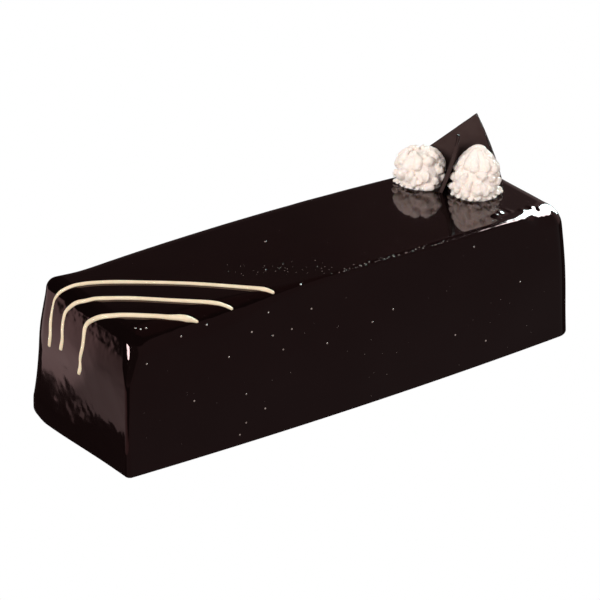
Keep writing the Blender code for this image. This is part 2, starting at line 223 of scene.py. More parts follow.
def new_object(name, data):
    """An object that holds the data, linked to the scene."""
    made = bpy.data.objects.new(name, data)
    bpy.context.scene.collection.objects.link(made)
    return made


def new_mesh_object(name, points, faces, finish, smooth=True):
    """An object from points and faces."""
    data = bpy.data.meshes.new(name)
    data.from_pydata([tuple(point) for point in points], [], faces)
    data.validate()
    if smooth:
        data.shade_smooth()
    data.materials.append(finish)
    return new_object(name, data)


def ring_faces(rings, count):
    """Quads between closed rings of count points each, numbered one ring after the other."""
    faces = []
    for start in range(0, (rings - 1) * count, count):
        for k in range(count):
            a, b = start + k, start + (k + 1) % count
            faces.append((a, b, b + count, a + count))
    return faces


def closed_faces(rings, count):
    """The same quads, and a face across the first and the last ring."""
    first, last = range(count), range((rings - 1) * count, rings * count)
    return [*ring_faces(rings, count), tuple(reversed(first)), tuple(last)]


def points_and_normals(data):
    """The mesh's points and its vertex normals, each as an n by 3 array."""
    flat = np.empty((2, len(data.vertices) * 3))
    data.vertices.foreach_get("co", flat[0])
    data.vertex_normals.foreach_get("vector", flat[1])
    return flat.reshape(2, -1, 3)


def move_points(data, points):
    """Puts the mesh's points where the array says."""
    data.vertices.foreach_set("co", np.ascontiguousarray(points).ravel())
    data.update()


def apply_modifiers(item):
    """Replaces the object's mesh with the one that its modifiers make."""
    bpy.context.view_layer.update()
    graph = bpy.context.evaluated_depsgraph_get()
    item.data = bpy.data.meshes.new_from_object(item.evaluated_get(graph))
    item.modifiers.clear()


def smooth_path(points, step):
    """Points about a step apart on a smooth curve through the given ones."""
    ends = [points[0] * 2 - points[1], *points, points[-1] * 2 - points[-2]]
    path = []
    for a, b, c, d in zip(ends, ends[1:], ends[2:], ends[3:]):
        pieces = max(1, round((c - b).length / step))
        for k in range(pieces):
            t = k / pieces
            bend = (a * 2 - b * 5 + c * 4 - d) * t * t + (b * 3 - a - c * 3 + d) * t**3
            path.append((b * 2 + (c - a) * t + bend) / 2)
    return [*path, points[-1]]


def finish_piece(piece, node):
    """Centres the piece, hangs it on the root body, and hides the imported node that it stands in for."""
    piece.data.transform(Matrix.Translation((CENTRING, 0, 0)))
    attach(piece, "root")
    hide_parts(node)


# ---- materials


def fill(node, **inputs):
    """Fills a node's inputs: another node's output is linked, and a plain number or colour is set."""
    for name, value in inputs.items():
        socket = node.inputs[name.replace("_", " ")]
        if isinstance(value, bpy.types.NodeSocket):
            node.id_data.links.new(value, socket)
        else:
            socket.default_value = value
    return node


def plain_finish(name, **inputs):
    """A material with plain numbers and colours, and its shader."""
    made = bpy.data.materials.new(name)
    made.use_nodes = True
    return made, fill(made.node_tree.nodes["Principled BSDF"], **inputs)


def noisy_finish(name, tone, colours, roughness, bumps=(), **inputs):
    """A material whose colour, roughness and relief follow noise textures in object space.

    tone is a texture's scale in waves per metre, its detail and its roughness. roughness is a scale,
    and the values that the finish's roughness goes between. Each of bumps is a texture as well, and
    its height in millimetres; the finest comes first.
    """
    made, shader = plain_finish(name, **inputs)
    nodes = made.node_tree.nodes
    place = nodes.new("ShaderNodeTexCoord").outputs["Object"]

    def texture(scale, detail=3, rough=0.5):
        node = nodes.new("ShaderNodeTexNoise")
        fill(node, Vector=place, Scale=scale, Detail=detail, Roughness=rough)
        return node.outputs["Fac"]

    palette = fill(nodes.new("ShaderNodeValToRGB"), Fac=texture(*tone))
    for stop, position, colour in zip(palette.color_ramp.elements, TEXTURE_RANGE, colours):
        stop.position = position
        stop.color = (*colour, 1)
    scale, shiny, dull = roughness
    low, high = TEXTURE_RANGE
    spread = fill(nodes.new("ShaderNodeMapRange"), Value=texture(scale), From_Min=low, From_Max=high)
    fill(spread, To_Min=shiny, To_Max=dull)
    fill(shader, Base_Color=palette.outputs["Color"], Roughness=spread.outputs["Result"])
    for *waves, height in bumps:
        bump = fill(nodes.new("ShaderNodeBump"), Strength=1, Distance=height * MM, Height=texture(*waves))
        for link in shader.inputs["Normal"].links:
            fill(bump, Normal=link.from_socket)
        fill(shader, Normal=bump.outputs["Normal"])
    return made


# The part of a noise texture's range that a colour or a roughness is spread over.
TEXTURE_RANGE = (0.3, 0.7)
GLAZE = noisy_finish(
    "mirror_glaze",
    tone=(26, 4, 0.6),
    colours=((0.0026, 0.0013, 0.0013), (0.0036, 0.0018, 0.0018)),
    roughness=(60, 0.05, 0.075),
    bumps=((420, 2, 0.5, 0.008),),
    IOR=1.5,
    Specular_Tint=(1, 0.45, 0.45, 1),
)
# Painted highlight: the bubbles' pale colour stands in for the small glints of light on the domes.
BUBBLE_PAINTED_GLINT = noisy_finish(
    "glaze_bubble_painted_glint",
    tone=(300,),
    colours=((0.16, 0.12, 0.11), (0.34, 0.28, 0.26)),
    roughness=(500, 0.15, 0.3),
    IOR=1.5,
)
WHITE_CHOCOLATE = noisy_finish(
    "white_chocolate",
    tone=(180,),
    colours=((0.70, 0.575, 0.405), (0.78, 0.65, 0.47)),
    roughness=(400, 0.38, 0.52),
    bumps=((700, 3, 0.5, 0.08),),
    IOR=1.45,
    Subsurface_Weight=0.12,
    Subsurface_Scale=2 * MM,
)
CREAM = noisy_finish(
    "whipped_cream",
    tone=(90, 4),
    colours=((0.88, 0.775, 0.71), (0.93, 0.835, 0.785)),
    roughness=(300, 0.5, 0.7),
    bumps=((1500, 4, 0.65, 0.10), (420, 3, 0.5, 0.12)),
    IOR=1.38,
    Subsurface_Weight=0.35,
    Subsurface_Scale=2.5 * MM,
    Subsurface_Radius=(1.0, 0.75, 0.5),
    Specular_IOR_Level=0.3,
)
DARK_CHOCOLATE = noisy_finish(
    "dark_chocolate",
    tone=(120, 4),
    colours=((0.044, 0.027, 0.025), (0.057, 0.036, 0.034)),
    roughness=(150, 0.5, 0.6),
    bumps=((2200, 2, 0.5, 0.03), (160, 2, 0.5, 0.2)),
    IOR=1.5,
    Specular_IOR_Level=0.02,
)


# ---- the glazed bar


def profile_at(profile, place):
    """The value at that place, or at each of an array of places, on a smooth curve.

    The curve runs through the profile's (place, value) pairs, which are in millimetres.
    """
    places, values = np.array(profile).T * MM
    ends = [0, *range(len(places)), len(places) - 1]
    slopes = [(values[b] - values[a]) / (places[b] - places[a]) for a, b in zip(ends, ends[2:])]
    slopes = np.array(slopes)
    i = np.clip(np.searchsorted(places, place, side="right") - 1, 0, len(places) - 2)
    span = places[i + 1] - places[i]
    t = np.clip((place - places[i]) / span, 0, 1)
    ease = t * t * (3 - 2 * t)
    start = slopes[i] * span * t * (1 - t) ** 2
    end = slopes[i + 1] * span * t * t * (1 - t)
    return values[i] * (1 - ease) + values[i + 1] * ease + start - end


def bar_levels():
    """(height, share of the way in over the top) up the side, round the top edge and over the top."""
    start = BAR_HEIGHT - ROUNDEST
    side = [FOOT_ROUNDING + (start - FOOT_ROUNDING) * k / SIDE_LEVELS for k in range(SIDE_LEVELS + 1)]
    turns = [math.pi / 2 * k / EDGE_LEVELS for k in range(1, EDGE_LEVELS + 1)]
    heights = [0.0, *side, *(start + ROUNDEST * math.sin(turn) for turn in turns)]
    top = [(BAR_HEIGHT, k / TOP_LEVELS) for k in range(1, TOP_LEVELS + 1)]
    return [*((height, 0.0) for height in heights), *top]


def drawn_in(height, radius):
    """How far a round top edge has drawn in at that height. radius may be an array."""
    depth = np.maximum(0, height - (BAR_HEIGHT - radius))
    return radius - np.sqrt(np.maximum(0, radius**2 - depth**2))


def edge_inset(height, radius):
    """The same, with the foot drawn in a little as well."""
    return FOOT_ROUNDING if height == 0 else drawn_in(height, radius)


def rounded_rectangle(left, right, front, back, radii):
    """Counter-clockwise points of a rectangle with round corners, from its four edge lines.

    radii are those of the corners right back, left back, left front and right front.
    """
    insides = ((right, back, -1, -1), (left, back, 1, -1), (left, front, 1, 1), (right, front, -1, 1))
    arcs = []
    for quarter, ((x, y, in_x, in_y), radius) in enumerate(zip(insides, radii)):
        turn = math.pi / 2 * (quarter + np.linspace(0, 1, CORNER_STEPS + 1))
        along = x + radius * (in_x + np.cos(turn))
        across = y + radius * (in_y + np.sin(turn))
        arcs.append(np.column_stack((along, across)))
    points = []
    for quarter, arc in enumerate(arcs):
        start, end = arc[-1], arcs[(quarter + 1) % 4][0]
        steps = LONG_STEPS if quarter % 2 == 0 else SHORT_STEPS
        points += [arc, start + (end - start) * np.arange(1, steps)[:, None] / steps]
    return np.concatenate(points)


def glaze_wave(x, y, z):
    """How far the glaze stands out or in on a side wall: slow waves, with runs down the left end."""
    slow = np.sin(61 * x + 1.3) * np.sin(47 * z + 0.4) + 0.6 * np.sin(110 * x + 90 * z)
    runs = np.sin(260 * y + 1.1 * np.sin(90 * z)) + 0.7 * np.sin(430 * y - 60 * z)
    left_end = np.clip((-x / BAR_HALF_LENGTH - 0.92) / 0.06, 0, 1)
    share = z / BAR_HEIGHT
    fade = max(0.0, min(1.0, 6 * share, 6 * (1 - share)))
    return GLAZE_WAVE * fade * (0.45 * slow + 0.6 * left_end * runs * WAVE_ON_END)


def end_swell(x, y, z):
    """How far the left end swells out near its foot."""
    full, gone = SWELL_FADES
    fade = max(0.0, min(1.0, (gone - z) / (gone - full)))
    left_end = np.clip((-x / BAR_HALF_LENGTH - 0.86) / 0.12, 0, 1)
    return SWELL * left_end * fade * fade * np.exp(-(((y - SWELL_MIDDLE) / SWELL_WIDTH) ** 2))


def bar_ring(height, inwards):
    """One level of the bar: drafted, bulging at mid-length, and crowned along the top."""
    share = height / BAR_HEIGHT
    wall = profile_at(LONG_WALLS, height)
    front = wall - edge_inset(height, CRISPEST)
    back = wall - edge_inset(height, BACK_EDGE[-1][1] * MM)
    top_inset = inwards * (back - MIDDLE_STRIP / 2)
    shrink = edge_inset(height, RIGHT_EDGE) / 2 + top_inset
    corners = (RIGHT_CORNERS, BACK_LEFT_CORNER, FRONT_LEFT_CORNER, RIGHT_CORNERS)
    outline = rounded_rectangle(
        edge_inset(height, LEFT_EDGE) + top_inset - profile_at(LEFT_WALL, height),
        profile_at(RIGHT_WALL, height) - edge_inset(height, RIGHT_EDGE) - top_inset,
        -front * (1 - inwards) - MIDDLE_STRIP / 2 * inwards,
        back - top_inset,
        [max(profile_at(corner, height) - shrink, SMALLEST_CORNER) for corner in corners],
    )
    x, y = outline.T
    fronts = (wall - drawn_in(height, profile_at(FRONT_EDGE, x))) / front
    backs = (wall - drawn_in(height, profile_at(BACK_EDGE, x))) / back
    y = y * np.where(y < 0, fronts, backs)
    middle = 1 - (x / BAR_HALF_LENGTH) ** 2
    out = 1 + glaze_wave(x, y, height) / np.hypot(x, y)
    bulge = 1 + SIDE_BULGE / (LONG_WALLS[0][1] * MM) * middle
    along = x * out - end_swell(x, y, height)
    return np.column_stack((along, y * out * bulge, height + TOP_CROWN * middle * share))


def bar_faces(rings, count):
    """Quads between the rings, a cap below, and quads across the last narrow strip on top."""
    top = (rings - 1) * count
    back_start = top + CORNER_STEPS
    front_start = top + 3 * CORNER_STEPS + LONG_STEPS + SHORT_STEPS
    back = list(range(back_start, back_start + LONG_STEPS + 1))
    front = list(reversed(range(front_start, front_start + LONG_STEPS + 1)))
    left_cap = tuple(range(back[-1], front[-1] + 1))
    right_cap = (*range(front[0], top + count), *range(top, back[0] + 1))
    faces = [*ring_faces(rings, count), tuple(reversed(range(count)))]
    return [*faces, *zip(back, back[1:], front[1:], front), left_cap, right_cap]


def glaze_relief(points, normals):
    """Height of the fine unevenness of the glaze, in metres."""
    x, y, z = points.T
    on_end = ramp(0.55, 0.85, -normals[:, 0])
    on_top = ramp(0.75, 0.95, normals[:, 2])
    on_front = ramp(0.6, 0.9, -normals[:, 1])
    on_edge = (1 - on_top) * ramp(0.15, 0.4, normals[:, 2])
    low = ramp(34 * MM, 22 * MM, z)
    # the streaks slant down the end, and are five times as long as they are wide
    along = -0.70 * y - 0.71 * z
    across = 0.71 * y - 0.70 * z
    slanting = np.column_stack((across, along / 5, x * 0))
    streaks = STREAKS * noise(slanting, 7 * MM, 3) + FINE_STREAKS * noise(slanting, 3.2 * MM, 4)
    knobs = noise(points * (1, 1, 1.5), 3.6 * MM, 5) + 0.5 * noise(points, 1.9 * MM, 6)
    slow = WAVES * noise(points, 38 * MM, 7)
    small = noise(points, 14 * MM, 8)
    calm = 1 - 0.7 * ramp(2 * MM, 22 * MM, y) * ramp(54 * MM, 40 * MM, z)
    relief = on_end * calm * (ramp(74 * MM, 52 * MM, z) * streaks + low * END_KNOBS * knobs)
    relief += on_top * (slow + TOP_RIPPLES * small)
    relief += on_front * (slow + FRONT_RIPPLES * small)
    relief += on_edge * (EDGE_RIPPLES * small + EDGE_KNOBS * knobs)
    relief *= ramp(0, 5 * MM, z)
    near_right = ramp(92 * MM, 104 * MM, x) * ramp(-20 * MM, -36 * MM, y) * ramp(0.3, 0.5, normals[:, 2])
    relief += near_right * (RIGHT_RIPPLES * noise(points, 9 * MM, 9) + EDGE_KNOBS * knobs)
    for hump_x, hump_y, width, tall in HUMPS:
        far = ((x / MM - hump_x) ** 2 + (y / MM - hump_y) ** 2) / width**2
        relief += tall * np.exp(-far) * ramp(0.3, 0.6, normals[:, 2])
    return relief * MM


def foot_lift(points):
    """How far the far left corner's foot rises off the ground, in metres."""
    x, y, z = points.T
    corner = ramp(26 * MM, 47 * MM, y) * ramp(-136 * MM, -149 * MM, x)
    return FOOT_LIFT * corner * ramp(12 * MM, 0, z)


def corner_sag(points, normals):
    """How far the top sinks towards the near left corner, in metres."""
    x, y, _ = points.T
    past = np.maximum(0.0, -0.62 * x - 0.78 * y - SAG_STARTS)
    return SAG_PER_METRE * past**2 * ramp(0.2, 0.7, normals[:, 2])


def make_bar():
    """The glazed bar as a fine mesh."""
    rings = [bar_ring(height, inwards) for height, inwards in bar_levels()]
    faces = bar_faces(len(rings), len(rings[0]))
    bar = new_mesh_object("cake_glaze", np.concatenate(rings), faces, GLAZE)
    points, normals = points_and_normals(bar.data)
    points = points + normals * glaze_relief(points, normals)[:, None]
    points[:, 2] -= corner_sag(points, normals)
    points[:, 2] = np.maximum(points[:, 2], 0) + foot_lift(points)
    move_points(bar.data, points)
    return bar


def bubble(place, normal, radius, height):
    """Points and faces of one small dome on the glaze, with its rim a little below it."""
    side = normal.orthogonal().normalized()
    other = normal.cross(side)
    sides, rings, sunk = 14, 5, 0.05 * MM
    points = []
    for j in range(rings):
        lift = math.pi / 2 * (j / rings)
        out, up = radius * math.cos(lift), height * math.sin(lift) - sunk
        for k in range(sides):
            turn = 2 * math.pi * k / sides
            points.append(place + side * out * math.cos(turn) + other * out * math.sin(turn) + normal * up)
    points.append(place + normal * (height - sunk))
    last = (rings - 1) * sides
    tip = [(last + k, last + (k + 1) % sides, rings * sides) for k in range(sides)]
    return points, [*ring_faces(rings, sides), *tip, tuple(reversed(range(sides)))]


def bubble_places():
    """(Place to look from, way to look, radius in mm) for every bubble."""

    def on_front(along, height, radius):
        return Vector((along, -90, height)) * MM, Vector((0, 1, 0)), radius

    def on_top(along, across, radius):
        return Vector((along, across, 120)) * MM, Vector((0, 0, -1)), radius

    for along, height in FRONT_BUBBLES:
        yield on_front(along, height, 0.55)
    for along, across in TOP_BUBBLES:
        yield on_top(along, across, 0.6)
    dice = np.random.default_rng(5)
    for start, end, count, spread in BUBBLE_LINES:
        start, end = np.array(start), np.array(end)
        for share, off in zip(dice.random(count), dice.normal(0, spread, (count, 2))):
            along, across = start + (end - start) * share + off
            yield on_top(along, max(across, FRONTMOST_BUBBLE), 0.13 + 0.14 * dice.random())
    for along, height in zip(dice.uniform(-140, 130, 60), dice.uniform(4, 74, 60)):
        yield on_front(along, height, 0.08 + 0.12 * dice.random())


def joined(shapes):
    """The points and faces of several shapes as one."""
    points, faces = [], []
    for more, quads in shapes:
        faces += [tuple(i + len(points) for i in face) for face in quads]
        points.extend(more)
    return points, faces


def make_bubbles(surface):
    """Small air bubbles standing out of the glaze. Their pale colour is a painted highlight for the glints
    that they catch.
    """
    shapes = []
    for place, way, radius in bubble_places():
        hit, normal, _, _ = surface.ray_cast(place, way)
        if hit:
            shapes.append(bubble(hit, normal, radius * MM, 0.6 * radius * MM))
    return new_mesh_object("cake_bubbles_painted_glint", *joined(shapes), BUBBLE_PAINTED_GLINT)


# ---- white chocolate lines


def round_ended(radii, step):
    """Closes a row of radii with round ends. step is the distance between them."""
    count = len(radii)
    closed = np.array(radii)
    for i in range(count):
        for reach, end in ((i * step, 0), ((count - 1 - i) * step, -1)):
            room = radii[end]
            if reach < room:
                closed[i] *= math.sqrt(max(0.02, 1 - (1 - reach / room) ** 2))
    return closed


def bead_radii(index, count):
    """The radius along a piped line: the widths that it was given, and a slightly uneven hand."""
    at = np.linspace(0, 1, count)
    shares, widths = zip(*BEAD_WIDTHS[index])
    wobble = noise(np.column_stack((at * 3, at * 0 + index + 0.5, at * 0)), 0.16, 11)
    return BEAD_RADIUS * np.interp(at, shares, widths) * (1 + 0.05 * wobble)


def tube(path, normals, radii, sides):
    """Points and faces of a closed tube with round ends."""
    points = []
    count = len(path)
    for i in range(count):
        ahead = path[min(i + 1, count - 1)] - path[max(i - 1, 0)]
        side = ahead.cross(normals[i]).normalized()
        up = side.cross(ahead).normalized()
        for k in range(sides):
            angle = 2 * math.pi * k / sides
            points.append(path[i] + (side * math.cos(angle) + up * math.sin(angle)) * radii[i])
    return points, closed_faces(count, sides)


def evened(row):
    """A row of vectors, each evened out with its neighbours. The ends stay."""
    return [row[0], *((a + b * 2 + c) / 4 for a, b, c in zip(row, row[1:], row[2:])), row[-1]]


def make_bead(index, surface):
    """One piped line on the glaze."""
    waypoints = [Vector(point) * MM for point in BEADS_IN_MM[index]]
    step = 0.6 * MM
    nearest = [surface.find_nearest(place) for place in smooth_path(waypoints, step)]
    path, normals, _, _ = zip(*nearest)
    # even out the steps and the normals
    for _ in range(6):
        path = evened(path)
        normals = [normals[0], *(v.normalized() for v in evened(normals)[1:-1]), normals[-1]]
    radii = round_ended(bead_radii(index, len(path)), step)
    path = [point + normal * BEAD_RISE for point, normal in zip(path, normals)]
    shape = tube(path, normals, radii, sides=20)
    return new_mesh_object(f"white_chocolate_line_{index + 1}", *shape, WHITE_CHOCOLATE)


# ---- cream rosettes


def height_of_top(surface, x, y):
    """Height of the glazed surface under (x, y)."""
    point, _, _, _ = surface.ray_cast(Vector((x, y, 2 * BAR_HEIGHT)), Vector((0, 0, -1)))
    return point.z


# Each rosette is a core of cream with petals laid over it, as a star nozzle leaves them. body is the
# outline that the petals reach, as (distance out, height) in millimetres from the rosette's axis and
# from the glaze. A petal is its thickness and the (bearing, height) places that it runs through, in
# degrees from +X towards +Y and in millimetres. More petals follow between the bearings of sides,
# which the photo doesn't show: one tier each for the (height, thickness) pairs of tiers.
ROSETTES = {
    "cream_rosette_back": dict(
        at=(94.6, 24.6),
        lean=(0.0, 0.0),
        body=((15.3, 0), (15.3, 5), (15.0, 9), (12.8, 14), (10.2, 17), (8, 18.5), (5, 19.6), (0.5, 20.2)),
        sides=(-30, 130),
        tiers=((9.5, 3.0), (3.5, 2.8)),
        petals=(
            (3.7, (140, 19.2), (146, 17.5), (163, 12.5)), (3.8, (165, 19.5), (190, 17.5), (190, 10.5)),
            (2.7, (190, 19.8), (220, 18.0), (222, 12.0)), (3.8, (255, 19.6), (266, 18.6), (262, 13.5)),
            (2.7, (320, 19.6), (318, 18.8), (300, 15.5)), (2.6, (120, 18.5), (138, 14.7), (146, 9.5)),
            (2.6, (310, 17), (316, 14), (318, 9.5)), (3.0, (196, 12), (180, 8), (172, 4.4)),
            (2.8, (214, 12), (208, 8), (200, 4.5)), (1.9, (224, 9.6), (220, 6), (214, 2.8)),
            (3.9, (234, 10.5), (247, 9.6), (257, 9)), (2.3, (228, 7.5), (230, 4)), (2.4, (146, 8), (150, 4)),
            (1.9, (238, 2.4), (252, 2.2), (268, 2.4)), (2.3, (268, 8), (274, 5.5), (282, 4)),
            (2.4, (286, 15), (292, 12), (294, 8)), (2.2, (300, 8), (306, 5), (310, 2.6)),
            (1.7, (213, 3.4), (212, 1.5)), (1.8, (190, 3), (189, 1.6)), (1.8, (172, 3), (170, 1.7)),
            (1.9, (158, 3), (155, 1.7)), (1.8, (204, 3.2), (202, 1.7)), (1.8, (228, 3), (227, 1.6)),
        ),
    ),
    "cream_rosette_front": dict(
        at=(111.3, -3.6),
        lean=(1.0, -0.7),
        body=(
            (15.3, 0), (15.3, 4), (14.5, 8), (13.5, 12), (12.2, 17), (10.7, 19), (8.4, 22), (5.7, 25),
            (3.4, 27.4), (0.5, 28.9),
        ),
        sides=(-30, 130),
        tiers=((13.5, 2.8), (7.5, 2.4), (3, 2.4)),
        petals=(
            (3.1, (195, 27.8), (196, 24.7), (190, 18.0)), (2.7, (212, 27.8), (220, 23.7), (222, 17.0)),
            (3.0, (250, 27.6), (266, 23.4), (272, 16.5)), (2.7, (280, 27.4), (294, 23.1), (297, 14.5)),
            (2.3, (160, 27.4), (152, 23), (156, 17)), (2.6, (176, 19.5), (171, 15.4), (174, 10)),
            (2.8, (204, 16.5), (193, 12.5), (184, 6.8)), (2.6, (220, 13), (212, 9), (200, 3.6)),
            (3.2, (229, 12.0), (236, 8), (241, 3.4)), (2.5, (235, 12.7), (250, 9.2), (264, 4.6)),
            (3.0, (230, 16.2), (246, 15.4), (262, 13.6)), (2.2, (266, 15.9), (278, 13.6), (285, 11)),
            (2.2, (264, 9.4), (272, 7.6), (281, 5.4)), (1.8, (190, 9.5), (184, 6.8), (181, 3.4)),
            (1.7, (213, 7.4), (212, 5.4), (209, 2.2)), (2.3, (310, 24), (318, 20), (320, 13)),
            (2.2, (318, 11), (322, 7)), (2.2, (150, 13), (146, 8.5)), (2.1, (140, 24), (140, 19)),
            (2.2, (140, 18), (142, 13.5)), (2.2, (302, 12), (304, 7.5)), (2.0, (158, 8), (160, 3.6)),
            (2.0, (140, 6), (142, 3)), (2.0, (296, 5), (297, 2.6)), (1.8, (314, 4), (316, 2)),
            (1.8, (172, 3.4), (171, 1.7)), (1.9, (192, 3), (193, 1.6)), (1.9, (207, 3), (208, 1.7)),
            (2.8, (236, 4), (242, 2.4)), (2.1, (266, 3.4), (270, 1.8)), (1.8, (222, 3), (223, 1.5)),
            (1.9, (283, 3), (284, 1.7)),
        ),
    ),
}
# A petal's radius at its tip, and the share of its radius that is under the outline. Then how deep
# the core lies under it, how much of the foot is pressed flat, and the gap to the glaze.
PETAL_TIP = 1.1 * MM
PETAL_SUNK = 0.86
CORE_DEPTH = 2.3 * MM
SUNK_FOOT = 0.8 * MM
CREAM_GAP = 0.06 * MM
# The underside follows the glaze up to this height.
SETTLED = 9 * MM
# Millimetres of height that a rosette's lean, along and across, is given for.
LEAN_HEIGHT = 28
# The petals are melted together at this grain, and then made uneven: (height, size, seed).
CREAM_VOXEL = 0.32 * MM
CREAM_LUMPS = ((0.30, 3.6, 21), (0.18, 1.8, 22), (0.09, 1.0, 23))
CREASE_DEPTH = 0.2 * MM


def on_body(body, height, depth):
    """(Distance out, height) of the place under the body's outline at that height, all in metres."""
    outs, heights = np.array(body).T * MM
    step = 0.4 * MM
    low, high = (np.interp(height + d, heights, outs) for d in (-step, step))
    slope = Vector((2 * step, low - high)).normalized()
    return np.interp(height, heights, outs) - depth * slope.x, height - depth * slope.y


def cream_core(body):
    """Points and faces of the turned body under the petals."""
    sides = 48
    turns = np.linspace(0, 2 * math.pi, sides, endpoint=False)
    levels = np.linspace(1, body[-1][1] - 0.5, 24) * MM
    profile = [on_body(body, level, CORE_DEPTH) for level in levels]
    profile = [(profile[0][0], 0.0), *profile]
    rings = [np.column_stack((r * np.cos(turns), r * np.sin(turns), turns * 0 + h)) for r, h in profile]
    return np.concatenate(rings), closed_faces(len(rings), sides)


def petal_radius(thickness, share):
    """The petal's radius in metres at a share of its length: thin at its tip, full from 0.6 on."""
    return PETAL_TIP + (thickness * MM - PETAL_TIP) * ramp(0, 0.6, share)


def cream_petal(body, thickness, stops):
    """Points and faces of one petal through the (bearing, height) stops."""
    stops = smooth_path([Vector((*stop, 0)) for stop in stops], 0.6)
    path = []
    for i, (bearing, height, _) in enumerate(stops):
        depth = float(petal_radius(thickness, i / len(stops))) * PETAL_SUNK
        out, up = on_body(body, height * MM, depth)
        turn = math.radians(bearing)
        path.append(Vector((out * math.cos(turn), out * math.sin(turn), up)))
    step = 0.45 * MM
    path = smooth_path([path[0], *path[3:-3:3], path[-1]], step)
    radii = petal_radius(thickness, np.linspace(0, 1, len(path)))
    normals = [Vector((place.x, place.y, 0.5 * place.z)) for place in path]
    return tube(path, normals, round_ended(radii, step), 18)


def cream_shapes(facts):
    """The core and every petal of a rosette."""
    body = facts["body"]
    yield cream_core(body)
    for thickness, *stops in facts["petals"]:
        yield cream_petal(body, thickness, stops)
    dice = np.random.default_rng(11)
    start, end = facts["sides"]
    top = body[-1][1] - 0.6
    for height, thickness in facts["tiers"]:
        for bearing in np.arange(start, end + 1, 24 if thickness > 2.6 else 18):
            bearing += dice.uniform(-4, 4)
            low = height + dice.uniform(-1.2, 1.2)
            high = min(top, low + (16 if height > 8 else 5))
            stops = (bearing, high), (bearing + 4, (low + high) / 2), (bearing, low)
            yield cream_petal(body, thickness, stops)
        start, end = start + 10, end - 8
    for bearing in np.arange(-40, 140, 15):
        low = dice.uniform(1.4, 2.0)
        yield cream_petal(body, dice.uniform(1.7, 2.2), ((bearing, low + 2), (bearing, low)))


def make_rosette(name, facts, surface):
    """Ridges of cream over a core, melted into one uneven body."""
    centre = np.array(facts["at"]) * MM
    level = height_of_top(surface, *centre) + CREAM_GAP
    points, faces = joined(cream_shapes(facts))
    points = np.array(points)
    for axis in (0, 1):
        points[:, axis] += centre[axis] + facts["lean"][axis] * points[:, 2] / LEAN_HEIGHT
    points[:, 2] += level - SUNK_FOOT * (1 - points[:, 2] / (facts["body"][-1][1] * MM))
    rosette = new_mesh_object(name + "_piped", points, faces, CREAM)
    melt = rosette.modifiers.new("melt", "REMESH")
    melt.mode = "VOXEL"
    melt.voxel_size = CREAM_VOXEL
    even = rosette.modifiers.new("even", "SMOOTH")
    even.factor = 0.5
    even.iterations = 1
    apply_modifiers(rosette)
    rosette.data.shade_smooth()
    points, normals = points_and_normals(rosette.data)
    creases = ramp(0.12, 0, np.abs(noise(points, 4.6 * MM, 24)))
    points = points + normals * (lumps(points, CREAM_LUMPS) - CREASE_DEPTH * creases)[:, None]
    points = settle(points, level, surface)
    points = press(points, name)
    move_points(rosette.data, points)
    return rosette


def settle(points, level, surface):
    """Lets the underside follow the glaze, less and less up to SETTLED above level."""
    out = points.copy()
    for i, (x, y, z) in enumerate(points):
        share = (z - level) / SETTLED
        if share < 1:
            ground = height_of_top(surface, x, y) + CREAM_GAP
            out[i, 2] = max(ground, z + (ground - level) * (1 - max(0.0, share)))
    return out


def slim_frame():
    """The slim plate's directions: backwards along its foot, up its face, and through it."""
    back = Vector((math.cos(SLIM_HEADING), math.sin(SLIM_HEADING), 0))
    right = Vector((back.y, -back.x, 0))
    rise = right * math.sin(SLIM_TILT) + Vector((0, 0, math.cos(SLIM_TILT)))
    return back, rise, back.cross(rise)


def press(points, name):
    """Flattens the cream against its own side of the slim plate."""
    back, rise, through = (np.array(v) for v in slim_frame())
    offset = points - np.array((*SLIM_FOOT, SLIM_LEVEL))
    share = np.clip(offset @ rise / SLIM_HEIGHT, 0, 1)
    off = offset @ through - SLIM_BOW * 4 * share * (1 - share)
    room = PLATE_THICKNESS / 2 + GAP
    if name == "cream_rosette_back":
        wrong = np.maximum(0.0, off + room)
    else:
        wrong = np.minimum(0.0, off - room)
    return points - through * wrong[:, None]


# ---- chocolate plates


def plate_piece(name, rows):
    """A thin closed plate. rows are stacks of rings round the plate, from its foot to its top."""
    count = len(rows[0])
    faces = ring_faces(len(rows), count)
    # the foot and the top are closed with quads between the ring's two long sides
    for start in (0, (len(rows) - 1) * count):
        for k in range(count // 2 - 1):
            faces.append((start + k, start + k + 1, start + count - 2 - k, start + count - 1 - k))
    points = [point for row in rows for point in row]
    plate = new_mesh_object(name, points, faces, DARK_CHOCOLATE)
    mesh = bmesh.new()
    mesh.from_mesh(plate.data)
    bmesh.ops.recalc_face_normals(mesh, faces=mesh.faces)
    mesh.to_mesh(plate.data)
    mesh.free()
    rim = plate.modifiers.new("rim", "BEVEL")
    rim.width = PLATE_RIM
    rim.segments = 3
    rim.limit_method = "ANGLE"
    rim.angle_limit = math.radians(40)
    apply_modifiers(plate)
    plate.data.shade_smooth()
    points, normals = points_and_normals(plate.data)
    move_points(plate.data, points + normals * lumps(points, PLATE_LUMPS)[:, None])
    return plate


def plate_rows(surface, middle, through, steps):
    """Rings round a plate, from its foot to its top: along one face, then back along the other.

    middle(rise, share) is the place in the plate's middle at a share of its height and of its width.
    """
    half = through * PLATE_THICKNESS / 2
    rows = []
    for j in range(PLATE_ROWS + 1):
        places = [middle(j / PLATE_ROWS, k / steps) for k in range(steps + 1)]
        if j == 0:
            for place in places:
                place.z = height_of_top(surface, place.x, place.y) + GAP
        rows.append([place - half for place in places] + [place + half for place in reversed(places)])
    return rows


